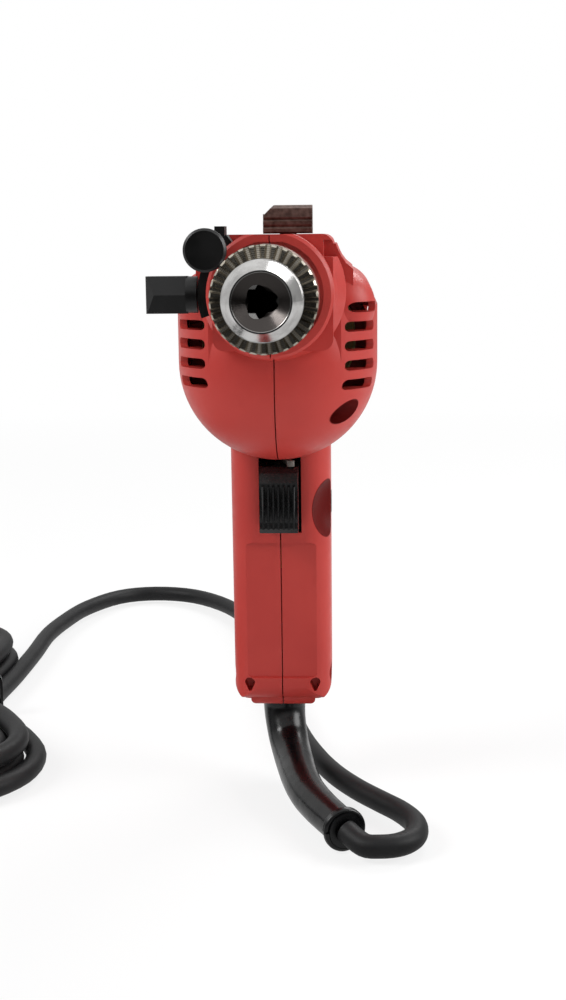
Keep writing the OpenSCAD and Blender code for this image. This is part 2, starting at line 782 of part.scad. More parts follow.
module mode_selector() {
    keeper_z = top_z - wall - slack - 1.7;
    color(steel) translate([selector_shift, selector_y, 0]) {
        difference() {
            // Knob with a crowned top and stepped thumb ridges front and back
            slab_x(-selector_w / 2, selector_w) polygon([
                [-6, top_z + 0.2], [-7, top_z + 0.8], [-7, top_z + 2], [-6.2, top_z + 2.6],
                    [-6.6, top_z + 3.4],
                [-6.6, top_z + 4.6], [-5.6, top_z + 5.2], [-6, top_z + 6], [-5.6, top_z + 9.2],
                    [-3.5, top_z + 10.3],
                [0, top_z + selector_h], [3.5, top_z + 10.3], [5.6, top_z + 9.2], [6, top_z + 6],
                    [5.6, top_z + 5.2],
                [6.6, top_z + 4.6], [6.6, top_z + 3.4], [6.2, top_z + 2.6], [7, top_z + 2],
                    [7, top_z + 0.8],
                [6, top_z + 0.2]
            ]);
            for (side = [-1, 1])
                translate([side * (selector_w / 2 + 3.2), -10, top_z + selector_h]) rotate([0, 45, 0])
                cube([5, 20, 5], center = false);
        }
        translate([-stem_w / 2, -stem_w / 2, keeper_z + 0.7])
            cube([stem_w, stem_w, top_z + 0.8 - keeper_z - 0.7]);
        // Keeper that holds the knob under the housing
        translate([-stem_w / 2 - 2, -stem_w / 2 - 2, keeper_z]) cube([stem_w + 4, stem_w + 4, 1.7]);
    }
}

module trigger() {
    tongue_end = switch_y + 0.5 - trigger_y;
    color(black) translate([0, trigger_y, trigger_top - trigger_h]) {
        union() {
            // Pad with a hollowed upper front and rounded lower edge
            slab_x(-trigger_w / 2, trigger_w) difference() {
                polygon([[1.5, 0], [0, 2], [0, trigger_h - 8], [3, trigger_h - 2], [5, trigger_h],
                    [tongue_end, trigger_h], [tongue_end, 0]]);
                translate([-30.4, trigger_h / 2 + 2]) circle(32, $fn = 128);
            }
            // Seven upright ribs
            for (i = [-3 : 3]) translate([i * 1.9 - 0.45, 1.2, 1.6]) cube([0.9, 2, trigger_h - 9]);
        }
    }
}

module trigger_switch() {
    color(black) difference() {
        translate([-switch_w / 2, switch_y, slot_bottom - 4])
            cube([switch_w, switch_d, trigger_top - slot_bottom + 4]);
        // Slot that takes the trigger's tongue
        translate([-trigger_w / 2 - slack, switch_y - 1, trigger_top - trigger_h - slack])
            cube([trigger_w + 2 * slack, trigger_travel + 2.5, trigger_h + 2]);
        translate([lock_inner_x - 3, lock_y, lock_z]) rotate([0, 90, 0])
            cylinder(h = 40, d = lock_d + 2 * slack);
    }
}

module reverse_lever() {
    color([0.6, 0.6, 0.6]) translate([0, lever_y, trigger_top + slack]) {
        cylinder(h = slot_top + 1 - trigger_top - 2 * slack, r = 3);
        rotate(lever_turn) translate([-1, -lever_len, 0]) cube([2, lever_len, 2]);
        rotate(lever_turn) translate([0, -lever_len, 0]) cylinder(h = 2.2, r = 1.4);
    }
}

module lock_button() {
    color(black) translate([0, lock_y, lock_z]) rotate([0, 90, 0]) {
        translate([0, 0, lock_inner_x]) cylinder(h = grip_w / 2 + 0.2 - lock_inner_x, d = lock_d);
    }
}

module capacitor() {
    color([0.85, 0.75, 0.3]) translate([-9, switch_y + 4, slot_bottom - 4 - 12]) cube([18, 14, 12]);
}

module cord_clamp() {
    color(black) lean() translate([0, grip_mid_y, -grip_bottom + 22]) difference() {
        translate([wall - grip_w / 2, -4, -3]) cube([grip_w - 2 * wall, 8, 6]);
        translate([0, 0, -10]) cylinder(h = 30, d = cord_d);
    }
}

module stop_bracket() {
    color(black) difference() {
        union() {
            slab_y(bracket_y, bracket_w) difference() {
                circle(collar_r + 0.2 + bracket_t, $fn = 96);
                // Keep the stretch from the wing screw up to the lug
                polygon([[0, 0], [-60, -20], [-60, -60], [60, -60], [60, 60], [-44, 60]]);
            }
            slab_y(bracket_y, bracket_w) translate([rod_x, rod_z]) circle(rod_d / 2 + 3);
            slab_y(bracket_y, bracket_w) translate([rod_x + 2.4, rod_z + 3.4]) square([3.4, 4.4]);
        }
        along_y(bracket_y - 1) cylinder(h = bracket_w + 2, r = collar_r + 0.2, $fn = 96);
        translate([rod_x, 0, rod_z]) along_y(bracket_y - 1)
            cylinder(h = bracket_w + 2, d = rod_d + 2 * fit);
        translate([-collar_r - 20, wing_y, wing_z]) rotate([0, 90, 0])
            cylinder(h = 22, d = wing_hole_d + 2 * fit);
    }
}

module depth_rod() {
    color(black) translate([rod_x, 0, rod_z]) difference() {
        along_y(rod_front) cylinder(h = rod_len, d = rod_d);
        // Scale notches along the top
        for (i = [1 : 10]) translate([-3, rod_front + 18 + i * 10, rod_d / 2 - 0.35]) cube([6, 0.6, 1]);
    }
}

module rod_pad() {
    color(black) translate([rod_x, 0, rod_z]) along_y(rod_front - pad_w) rotate_extrude() polygon([
        [0, 0], [pad_d / 2 - 0.8, 0], [pad_d / 2, 0.8], [pad_d / 2, pad_w - 1],
            [pad_d / 2 - 1, pad_w], [0, pad_w]
    ]);
}

module wing_screw() {
    plate_x = -collar_r - 0.2 - bracket_t;
    color(black) translate([plate_x - slack, wing_y, wing_z]) {
        // Round neck, then the wing with a ridge facing forwards and backwards and a hipped end
        translate([-neck_len, 0, 0]) rotate([0, 90, 0]) cylinder(h = neck_len, r = 6.2);
        intersection() {
            slab_x(-neck_len - wing_len, wing_len + 0.5)
                polygon([[-4.6, 0], [-2.2, 6.3], [2.2, 6.3], [4.6, 0], [2.2, -6.3], [-2.2, -6.3]]);
            translate([-neck_len - wing_len, 0, -10]) linear_extrude(20)
                polygon([[0, -1.8], [3, -4.6], [wing_len + 0.5, -4.6], [wing_len + 0.5, 4.6],
                    [3, 4.6], [0, 1.8]]);
        }
        rotate([0, 90, 0]) cylinder(h = bracket_t + 3.6, d = wing_hole_d - 2 * fit);
    }
}

function unit(v) = v / norm(v);
// Direction of a route at one of its points; before and after are where it came from and goes on to
function tangent(p, i, before, after) = unit(
    (i < len(p) - 1 ? p[i + 1] : is_undef(after) ? p[i] : after) - (i > 0 ? p[i - 1]
        : is_undef(before) ? p[i] : before));
// Side vectors carried along a route without twist
function sides_of(p, i, side, before, after) =
    let (t = tangent(p, i, before, after), s = unit(side - (side * t) * t))
        i == len(p) - 1 ? [s] : concat([s], sides_of(p, i + 1, s, before, after));
// One point of a smooth curve through four neighbours
function curve_point(a, b, c, d, t) =
    0.5 * (2 * b + (c - a) * t + (2 * a - 5 * b + 4 * c - d) * t * t + (3 * b - a - 3 * c + d) * t * t * t);
function smooth(p, steps) = concat([for (i = [0 : len(p) - 2], k = [0 : steps - 1])
    curve_point(p[max(i - 1, 0)], p[i], p[i + 1], p[min(i + 2, len(p) - 1)], k / steps)], [p[len(p) - 1]]);

module tube(p, radii, count, first_side, before = undef, after = undef) {
    s = sides_of(p, 0, first_side, before, after);
    rings = [for (i = [0 : len(p) - 1]) let (t = tangent(p, i, before, after), up = cross(t, s[i]))
        for (k = [0 : count - 1]) let (a = k * 360 / count) p[i] + radii[i] * (cos(a) * s[i] + sin(a) * up)];
    last = (len(p) - 1) * count;
    walls = [for (i = [0 : len(p) - 2], k = [0
        : count - 1]) let (a = i * count + k, b = i * count + (k + 1) % count)
        each [[b, a, b + count], [b + count, a, a + count]]];
    polyhedron(rings, concat(
        [[for (k = [0 : count - 1]) k]], walls, [[for (k = [count - 1 : -1 : 0]) last + k]]
    ));
}

function flat(p) = [for (q = p) [q[0], q[1], cord_z]];
function route_length(p, i = 1) = i >= len(p) ? 0 : norm(p[i] - p[i - 1]) + route_length(p, i + 1);

// The protector hangs from the foot of the leaning grip
foot_point = [0, grip_mid_y + (grip_bottom + grip_top) * sin(grip_lean),
    grip_top - (grip_bottom + grip_top) * cos(grip_lean)];
relief_points = [for (q = smooth(RELIEF_ROUTE, 3)) foot_point + q];
relief_rings = len(relief_points);

module bend_protector() {
    color(black) {
        tube(relief_points, [for (i = [0 : relief_rings - 1])
            (relief_d + (relief_end_d - relief_d) * i / (relief_rings - 1)) / 2], 16, [1, 0, 0],
            undef, cord_points[1]);
        // Neck through the foot and flange behind its wall
        translate(foot_point) rotate([grip_lean, 0, 0]) {
            translate([0, 0, -0.5]) cylinder(h = wall + 1, r = relief_neck_r);
            translate([0, 0, wall]) cylinder(h = 3, r = relief_d / 2);
        }
    }
}

cord_start = relief_points[relief_rings - 1];
cord_points = concat([cord_start], smooth(flat(CORD_ROUTE), 2), [hank_point(0)]);

module cord() {
    color(black) tube(cord_points, [for (q = cord_points) cord_d / 2], 10, [1, 0, 0],
        relief_points[relief_rings - 2], hank_points[1]);
}

// Sideways and lengthwise place in one loop, with u counted in turns and k in steps from the innermost
function loop_at(u, k) = let (
    q = u * 4, quarter = floor(q) % 4, f = q - floor(q),
    g = (quarter % 2 == 0) ? f : 1 - f,
    r = bulb_r + k * turn_step, w = turn_step / 2 + k * waist_step,
    along = g < 0.5 ? hank_half * g * 2 : hank_half + r * sin((g - 0.5) * 180),
    across = g < 0.5 ? w + (r - w) * (0.5 - 0.5 * cos(g * 360)) : r * cos((g - 0.5) * 180)
) [(quarter == 0 || quarter == 3) ? across : -across, (quarter < 2) ? -along : along];
function hank_point(u) = let (
    k = u < 2 ? 2 - u : u - 2,
    climb = u < 1.75 ? 0 : u > 2.25 ? 1 : (u - 1.75) * 2,
    p = loop_at(u - floor(u), k)
) by_hank([p[0], p[1], climb]);
function by_hank(p) = [
    hank_mid[0] + p[0] * cos(hank_turn) - p[1] * sin(hank_turn),
    hank_mid[1] + p[0] * sin(hank_turn) + p[1] * cos(hank_turn),
    cord_z + p[2] * turn_step
];
hank_points = [for (i = [0 : hank_turns * hank_rings]) hank_point(i / hank_rings)];

module cord_hank() {
    color(black) tube(hank_points, [for (q = hank_points) cord_d / 2], 6, [0, 0, 1],
        cord_points[len(cord_points) - 2], tail_points[1]);
}

tail_points = smooth(concat([hank_point(hank_turns)], [for (q = TAIL_ROUTE) by_hank(q)]), 1);
plug_point = tail_points[len(tail_points) - 1];

module cord_tail() {
    color(black) tube(tail_points, [for (q = tail_points) cord_d / 2], 10, [0, 0, 1],
        hank_points[len(hank_points) - 2]);
}

module hank_tie() {
    left = turn_step / 2 + (hank_turns - 2) * waist_step + cord_d / 2 + slack;
    right = turn_step / 2 + 2 * waist_step + cord_d / 2 + slack;
    height = turn_step + cord_d + 2 * slack;
    middle = by_hank([(right - left) / 2, 0, 0.5]);
    color(black) translate(middle) rotate(hank_turn) translate([0, tie_w / 2, 0]) rotate([90, 0, 0])
        linear_extrude(tie_w) difference() {
            round_rect(left + right + 2 * tie_t, height + 2 * tie_t, cord_d / 2);
            round_rect(left + right, height, cord_d / 2 - tie_t);
        }
}

module on_plug() {
    translate(plug_point) rotate([90, 0, hank_turn]) children();
}

module plug_body() {
    color(black) on_plug() difference() {
        union() {
            // Sleeve, waisted grip and flat face of the plug
            cylinder(h = 10, r = cord_d / 2 + 2.5);
            for (i = [0 : 2]) translate([0, 0, 2 + i * 3]) cylinder(h = 1.5, r = cord_d / 2 + 3.2);
            translate([0, 0, 9]) linear_extrude(plug_len - 13) round_rect(plug_w - 9, plug_h - 6, 8);
            translate([0, 0, plug_len - 6]) linear_extrude(6) round_rect(plug_w, plug_h, 10);
        }
        translate([0, 0, -1]) cylinder(h = 1 + 0.01, d = cord_d);
    }
}

module plug_pins() {
    color(brass) on_plug() for (side = [-1, 1]) translate([side * pin_gap / 2, 0, plug_len]) {
        cylinder(h = pin_len - 1, d = pin_d);
        translate([0, 0, pin_len - 1]) cylinder(h = 1, d1 = pin_d, d2 = pin_d - 1.6);
    }
}

echo(cord_length_mm = route_length(cord_points) + route_length(hank_points) + route_length(tail_points));
// Least distance between points of the hank that are over a quarter turn apart, less the cord itself
echo(hank_gap_mm = min([for (i = [0 : len(hank_points) - 1], j = [i + 7 : 1 : len(hank_points) - 1])
    norm(hank_points[i] - hank_points[j])]) - cord_d);

housing_left();
housing_right();
housing_screws();
spindle();
spindle_bearing();
spindle_bush();
drive_gear();
chuck_body();
chuck_sleeve();
chuck_nut();
chuck_jaw(0);  // chuck_jaw_1
chuck_jaw(1);  // chuck_jaw_2
chuck_jaw(2);  // chuck_jaw_3
armature_shaft();
armature_core();
commutator();
fan();
motor_bearings();
field_core();
field_coils();
brush_holders();
carbon_brushes();
mode_selector();
ratchet_ring();
spindle_ratchet();
trigger();
trigger_switch();
reverse_lever();
lock_button();
capacitor();
cord_clamp();
stop_bracket();
depth_rod();
rod_pad();
wing_screw();
bend_protector();
cord();
cord_hank();
cord_tail();
hank_tie();
plug_body();
plug_pins();
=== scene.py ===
# Corded pistol drill: cords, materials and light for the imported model
import json
import math

import bpy
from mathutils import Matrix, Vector


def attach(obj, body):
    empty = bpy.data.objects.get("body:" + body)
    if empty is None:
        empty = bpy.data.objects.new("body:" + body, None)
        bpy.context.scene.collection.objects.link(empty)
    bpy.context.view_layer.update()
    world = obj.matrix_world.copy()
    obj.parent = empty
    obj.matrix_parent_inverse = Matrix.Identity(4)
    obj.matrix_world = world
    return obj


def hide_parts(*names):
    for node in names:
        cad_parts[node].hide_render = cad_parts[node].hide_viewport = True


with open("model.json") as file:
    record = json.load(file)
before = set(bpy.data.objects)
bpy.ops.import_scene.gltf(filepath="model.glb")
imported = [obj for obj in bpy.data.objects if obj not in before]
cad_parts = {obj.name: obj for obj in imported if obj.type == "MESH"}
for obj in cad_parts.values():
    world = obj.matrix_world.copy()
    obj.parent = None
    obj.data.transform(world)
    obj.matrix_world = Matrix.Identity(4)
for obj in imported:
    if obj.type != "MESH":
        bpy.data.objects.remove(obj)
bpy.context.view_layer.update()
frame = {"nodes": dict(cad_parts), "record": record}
nodes = frame["nodes"]
print("frame loaded:", len(nodes), "nodes")

millimetre = 0.001


# A hex value as a screen shows it, turned to linear light
def hexColour(code):
    parts = [int(code[i:i + 2], 16) / 255 for i in (1, 3, 5)]
    return tuple(c / 12.92 if c <= 0.04045 else ((c + 0.055) / 1.055) ** 2.4 for c in parts) + (1.0,)


# Adds a node, sets its properties and sockets, and links its inputs
def addNode(tree, kind, settings=None, sockets=None, links=None):
    node = tree.nodes.new(kind)
    for name, value in (settings or {}).items():
        setattr(node, name, value)
    for name, value in (sockets or {}).items():
        node.inputs[name].default_value = value
    for name, source in (links or {}).items():
        tree.links.new(source, node.inputs[name])
    return node


def newMaterial(name):
    material = bpy.data.materials.new(name)
    material.use_nodes = True
    tree = material.node_tree
    shader = tree.nodes["Principled BSDF"]
    place = addNode(tree, "ShaderNodeTexCoord").outputs["Object"]
    return material, tree, shader, place


def setShader(shader, **values):
    for name, value in values.items():
        shader.inputs[name.replace("_", " ")].default_value = value


# Two colours mixed by a mask, which low and high stretch
def mixColours(tree, mask, first, second, low=0.35, high=0.65):
    ramp = addNode(tree, "ShaderNodeValToRGB", links={"Fac": mask})
    ramp.color_ramp.elements[0].position = low
    ramp.color_ramp.elements[1].position = high
    ramp.color_ramp.elements[0].color = first
    ramp.color_ramp.elements[1].color = second
    return ramp.outputs["Color"]


# One colour laid over another where the mask is 1
def coverColour(tree, mask, under, over):
    node = addNode(tree, "ShaderNodeMix", settings={"data_type": "RGBA"}, links={0: mask, 6: under})
    node.inputs[7].default_value = over
    return node.outputs[2]


def mapRange(tree, source, low, high, fromLow=0.0, fromHigh=1.0):
    node = addNode(tree, "ShaderNodeMapRange",
                   sockets={"From Min": fromLow, "From Max": fromHigh, "To Min": low, "To Max": high},
                   links={"Value": source})
    return node.outputs["Result"]


def largest(tree, first, second):
    return addNode(tree, "ShaderNodeMath", settings={"operation": "MAXIMUM"}, links={0: first, 1: second}).outputs[0]


def addBump(tree, shader, height, distance, strength=1.0, after=None):
    bump = addNode(tree, "ShaderNodeBump", sockets={"Distance": distance, "Strength": strength},
                   links={"Height": height})
    if after is not None:
        tree.links.new(after, bump.inputs["Normal"])
    if shader is not None:
        tree.links.new(bump.outputs["Normal"], shader.inputs["Normal"])
    return bump.outputs["Normal"]


# Noise whose patches are about size metres across
def addNoise(tree, place, size, detail=3.0, roughness=0.5, stretch=None):
    source = place
    if stretch:
        source = addNode(tree, "ShaderNodeMapping", sockets={"Scale": stretch}, links={"Vector": place}).outputs[0]
    return addNode(tree, "ShaderNodeTexNoise",
                   sockets={"Scale": 1 / size, "Detail": detail, "Roughness": roughness},
                   links={"Vector": source}).outputs["Fac"]


# Camera at the photograph's place, 450 mm ahead of the chuck
camera = {"place": (0.0255, -0.513, 0.0198), "turnDegrees": (79.97, 0.59, 2.37), "lens": 54.0, "sensor": 36.0}
cameraData = bpy.data.cameras.new("photoCamera")
cameraData.sensor_fit = "VERTICAL"
cameraData.sensor_height = camera["sensor"]
cameraData.lens = camera["lens"]
cameraData.clip_start = 0.02
cameraObject = bpy.data.objects.new("photoCamera", cameraData)
cameraObject.location = camera["place"]
cameraObject.rotation_euler = [math.radians(a) for a in camera["turnDegrees"]]
bpy.context.scene.collection.objects.link(cameraObject)
bpy.context.scene.camera = cameraObject
print("camera placed")


# Cord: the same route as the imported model, in millimetres until the end
cordRoute = {
    "diameter": 8.5,
    "floor": -197.5,
    "gap": 0.7,   # between neighbouring turns
    "free": [(31, -10.5), (37, -12), (43, -10.5), (47.5, -6.5), (50, -1), (50.5, 6), (49, 13), (44.5, 22), (38, 31),
             (29, 44), (20, 61), (12, 83), (5, 110), (-3, 155), (-10, 200), (-18, 250), (-28, 298), (-44, 335),
             (-66, 360), (-90, 367), (-111, 358), (-126, 331), (-133, 302), (-137, 271), (-137, 235), (-138, 194)],
    "hankMiddle": (-165, 143),
    "hankTurn": 14,   # degrees
    "hankHalf": 75,
    "turns": 3.5,
    "waistRoom": 1.5,   # more between turns where the hank is narrow
    "bulbRoom": 1,   # more than three diameters round the innermost bend
    "ringsPerTurn": 24,
    "tail": [(-24, 17, 1), (-32, 36, 1), (-44, 56, 1), (-58, 66, 0.5), (-76, 60, 0.1), (-87, 42, 0.3), (-90, 22, 0.8),
             (-90, 12, 0.9)],
}
protector = {
    "gripBottom": 164, "gripTop": -48, "gripMiddle": 72, "lean": 3,   # where the foot of the grip is
    "route": [(0, 0, 0), (0, -1, -10), (3, -13, -21.5), (10.5, -48, -26), (25, -82, -27)],
    "topDiameter": 17.8, "endDiameter": 13,
}
cordMiddle = cordRoute["floor"] + cordRoute["diameter"] / 2
turnStep = cordRoute["diameter"] + cordRoute["gap"]
waistStep = turnStep + cordRoute["waistRoom"]
bulbRadius = 3 * cordRoute["diameter"] + cordRoute["bulbRoom"]


# A point between b and c, on the smooth curve through all four
def curvePoint(a, b, c, d, t):
    return 0.5 * (2 * b + (c - a) * t + (2 * a - 5 * b + 4 * c - d) * t * t + (3 * b - a - 3 * c + d) * t ** 3)


def smoothRoute(points, steps):
    last = len(points) - 1
    out = []
    for i in range(last):
        for k in range(steps):
            out.append(curvePoint(points[max(i - 1, 0)], points[i], points[i + 1], points[min(i + 2, last)], k / steps))
    return out + [points[last]]


# A point given across and along the turned hank, and in layers above the floor
def inHank(across, along, level):
    turn = math.radians(cordRoute["hankTurn"])
    middle = cordRoute["hankMiddle"]
    return Vector((middle[0] + across * math.cos(turn) - along * math.sin(turn),
                   middle[1] + across * math.sin(turn) + along * math.cos(turn), cordMiddle + level * turnStep))


# Sideways and lengthwise place in one loop, u in turns and k in steps from the innermost
def hankPoint(u):
    k = 2 - u if u < 2 else u - 2
    climb = 0 if u < 1.75 else 1 if u > 2.25 else (u - 1.75) * 2
    q = (u - math.floor(u)) * 4
    quarter = int(q) % 4
    f = q - math.floor(q)
    g = f if quarter % 2 == 0 else 1 - f
    r = bulbRadius + k * turnStep
    w = turnStep / 2 + k * waistStep
    half = cordRoute["hankHalf"]
    along = half * g * 2 if g < 0.5 else half + r * math.sin((g - 0.5) * math.pi)
    across = w + (r - w) * (0.5 - 0.5 * math.cos(g * 2 * math.pi)) if g < 0.5 else r * math.cos((g - 0.5) * math.pi)
    return inHank(across if quarter in (0, 3) else -across, -along if quarter < 2 else along, climb)


lean = math.radians(protector["lean"])
gripDrop = protector["gripBottom"] + protector["gripTop"]
footPoint = Vector((0, protector["gripMiddle"] + gripDrop * math.sin(lean),
                    protector["gripTop"] - gripDrop * math.cos(lean)))
protectorLine = [footPoint + p for p in smoothRoute([Vector(q) for q in protector["route"]], 3)]
cordStart = protectorLine[-1]
freeLine = [Vector((x, y, cordMiddle)) for x, y in cordRoute["free"]]
hankLine = [hankPoint(i / cordRoute["ringsPerTurn"])
            for i in range(int(cordRoute["turns"] * cordRoute["ringsPerTurn"]) + 1)]
tailLine = [inHank(*q) for q in cordRoute["tail"]]
cordLine = [cordStart] + freeLine + hankLine + tailLine


# One open spline through the points, with handles a third of the way along the tangents.
# Each point has its real radius under a bevel of 1, because Blender's bounds of a curve grow by it.
def curveThrough(name, points, shares, radius, fill=8, steps=4):
    data = bpy.data.curves.new(name, "CURVE")
    data.dimensions = "3D"
    data.bevel_depth = 1.0
    data.bevel_resolution = fill
    data.resolution_u = steps
    data.use_fill_caps = True
    spline = data.splines.new("BEZIER")
    spline.bezier_points.add(len(points) - 1)
    for i, p in enumerate(points):
        before = points[max(i - 1, 0)]
        after = points[min(i + 1, len(points) - 1)]
        reach = (after - before) / 6
        point = spline.bezier_points[i]
        point.handle_left_type = point.handle_right_type = "FREE"
        point.co = p * millimetre
        point.handle_left = (p - reach * (1 if 0 < i else 2)) * millimetre
        point.handle_right = (p + reach * (1 if i < len(points) - 1 else 2)) * millimetre
        point.radius = radius * (shares[i] if shares else 1.0)
    piece = bpy.data.objects.new(name, data)
    bpy.context.scene.collection.objects.link(piece)
    return piece


cordPiece = curveThrough("mainsCord", cordLine, None, cordRoute["diameter"] / 2 * millimetre)
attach(cordPiece, "housing")
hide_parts("cord", "cord_hank", "cord_tail")
print("cord laid")


# Mains lead: soft PVC sheath, extruded, matt with a faint drag and dust in it
def makeCordSheath():
    material, tree, shader, place = newMaterial("extrudedPvcSheath")
    setShader(shader, Roughness=0.5, IOR=1.5, Specular_IOR_Level=0.2)   # dusty, so little gloss
    broad = addNoise(tree, place, 0.02, detail=4)
    fine = addNoise(tree, place, 0.0006, detail=4, roughness=0.7)
    tree.links.new(mixColours(tree, broad, hexColour("#101011"), hexColour("#1a1a1b")), shader.inputs["Base Color"])
    tree.links.new(mapRange(tree, fine, 0.42, 0.62), shader.inputs["Roughness"])
    addBump(tree, shader, fine, 0.00004, 0.6)
    return material


# Bend protector: glossy moulded rubber, dented by use
def makeProtectorRubber():
    material, tree, shader, place = newMaterial("mouldedRubberBoot")
    setShader(shader, Base_Color=hexColour("#070708"), Roughness=0.22, IOR=1.5, Specular_IOR_Level=0.35)
    dents = addNoise(tree, place, 0.009, detail=2)
    fine = addNoise(tree, place, 0.0012, detail=3)
    tree.links.new(mapRange(tree, dents, 0.16, 0.36), shader.inputs["Roughness"])
    first = addBump(tree, None, dents, 0.0006, 0.5)
    addBump(tree, shader, fine, 0.00003, 0.5, after=first)
    return material


# Hollows on the left side of the housing, where shade is painted: middle, reach, and 0 along the axis of a round pocket
shadedHollows = [((0, 0.028, -0.0435), 0.0044, (0, 1, 1)), ((0.02925, 0.051, -0.0845), 0.01705, (1, 1, 1))]


# Housing: glass-filled nylon, moulded in spark-eroded tools, so a fine even grain under a semi-gloss
def makeRedNylon():
    material, tree, shader, place = newMaterial("glassFilledNylonRed")
    setShader(shader, IOR=1.52)
    broad = addNoise(tree, place, 0.03, detail=3)
    grain = addNoise(tree, place, 0.0005, detail=2, roughness=0.6)   # spark grain, drawn at 0.5 mm
    scuffs = addNoise(tree, place, 0.006, detail=6, roughness=0.75, stretch=(1, 0.5, 1))
    colour = mixColours(tree, broad, hexColour("#ae332d"), hexColour("#b63932"), 0.3, 0.7)
    leftSide = mapRange(tree, addNode(tree, "ShaderNodeSeparateXYZ", links={"Vector": place}).outputs["X"],
                        0.0, 1.0, 0.005, 0.006)
    paintedShade = None
    for middle, reach, flat in shadedHollows:   # painted shade: dark red inside each hollow, where shade falls, with less gloss there
        level = addNode(tree, "ShaderNodeMapping", sockets={"Scale": flat}, links={"Vector": place}).outputs[0]
        away = addNode(tree, "ShaderNodeVectorMath", settings={"operation": "DISTANCE"}, links={0: level})
        away.inputs[1].default_value = middle
        inside = mapRange(tree, away.outputs["Value"], 1.0, 0.0, reach, reach + 0.0003)
        mask = addNode(tree, "ShaderNodeMath", settings={"operation": "MULTIPLY"}, links={0: inside, 1: leftSide})
        paintedShade = mask.outputs[0] if paintedShade is None else largest(tree, paintedShade, mask.outputs[0])
        colour = coverColour(tree, mask.outputs[0], colour, hexColour("#5a1210"))
    tree.links.new(colour, shader.inputs["Base Color"])
    # less specular where the shade is painted
    tree.links.new(mapRange(tree, paintedShade, 0.3, 0.05), shader.inputs["Specular IOR Level"])
    tree.links.new(mapRange(tree, scuffs, 0.34, 0.5, 0.3, 0.7), shader.inputs["Roughness"])
    addBump(tree, shader, grain, 0.00003, 0.7)
    return material


# Black parts: moulded nylon with a satin face
def makeBlackNylon():
    material, tree, shader, place = newMaterial("mouldedNylonBlack")
    setShader(shader, IOR=1.52, Specular_IOR_Level=0.4)
    broad = addNoise(tree, place, 0.01, detail=3)
    grain = addNoise(tree, place, 0.0004, detail=2, roughness=0.6)
    tree.links.new(mixColours(tree, broad, hexColour("#070707"), hexColour("#0f0f10")), shader.inputs["Base Color"])
    tree.links.new(mapRange(tree, broad, 0.3, 0.45), shader.inputs["Roughness"])
    addBump(tree, shader, grain, 0.00003, 0.6)
    return material


# Turned steel: fine rings about the spindle, left by the lathe
def makeTurnedSteel(name="turnedSteel", tone="#c9c8c6", shade="#9a9896", pitch=0.00035, gloss=(0.16, 0.3),
                    depth=0.00002, bore=0.0, throat=0.0047):
    material, tree, shader, place = newMaterial(name)
    setShader(shader, Metallic=1.0)
    rings = addNode(tree, "ShaderNodeTexWave", settings={"wave_type": "RINGS", "rings_direction": "Y"},
                    sockets={"Scale": 0.314 / pitch, "Distortion": 0.6, "Detail": 2.0, "Detail Scale": 3.0},
                    links={"Vector": place}).outputs["Fac"]
    smear = addNoise(tree, place, 0.008, detail=3)
    colour = mixColours(tree, smear, hexColour(shade), hexColour(tone), 0.25, 0.6)
    if bore:   # inside this radius the mouth is coloured darker, and inside the throat near black
        flat = addNode(tree, "ShaderNodeMapping", sockets={"Scale": (1, 0, 1)}, links={"Vector": place}).outputs[0]
        away = addNode(tree, "ShaderNodeVectorMath", settings={"operation": "LENGTH"}, links={0: flat})
        mask = mapRange(tree, away.outputs["Value"], 1.0, 0.0, bore - 0.0001, bore + 0.0001)
        colour = coverColour(tree, mask, colour, hexColour("#4b4745"))
        deep = mapRange(tree, away.outputs["Value"], 1.0, 0.0, throat - 0.0002, throat + 0.0002)
        colour = coverColour(tree, deep, colour, hexColour("#171514"))
    tree.links.new(colour, shader.inputs["Base Color"])
    tree.links.new(mapRange(tree, smear, gloss[0], gloss[1]), shader.inputs["Roughness"])
    addBump(tree, shader, rings, depth, 0.5)
    return material


# Bright plate over moulded plastic or zinc, with faint handling marks
def makeChrome():
    material, tree, shader, place = newMaterial("chromePlate")
    setShader(shader, Metallic=1.0, Base_Color=hexColour("#d9d6d2"))
    marks = addNoise(tree, place, 0.004, detail=6, roughness=0.7)
    tree.links.new(mapRange(tree, marks, 0.05, 0.16, 0.4, 0.7), shader.inputs["Roughness"])
    addBump(tree, shader, marks, 0.00004, 0.3)
    return material


# Plain finishes for what the vents and gaps let the eye reach
def makeInner(name, first, second, metallic, gloss, size, bump=0.00003):
    material, tree, shader, place = newMaterial(name)
    setShader(shader, Metallic=metallic)
    mask = addNoise(tree, place, size, detail=4)
    tree.links.new(mixColours(tree, mask, hexColour(first), hexColour(second)), shader.inputs["Base Color"])
    tree.links.new(mapRange(tree, mask, gloss[0], gloss[1]), shader.inputs["Roughness"])
    addBump(tree, shader, mask, bump, 0.5)
    return material


# Trigger: nylon rubbed glossy by the finger
def makeTriggerNylon():
    material, tree, shader, place = newMaterial("rubbedTriggerNylon")
    setShader(shader, Base_Color=hexColour("#101011"), IOR=1.52)
    rubbed = addNoise(tree, place, 0.004, detail=4)
    tree.links.new(mapRange(tree, rubbed, 0.18, 0.32, 0.3, 0.7), shader.inputs["Roughness"])
    addBump(tree, shader, addNoise(tree, place, 0.0006), 0.00003, 0.5)
    return material


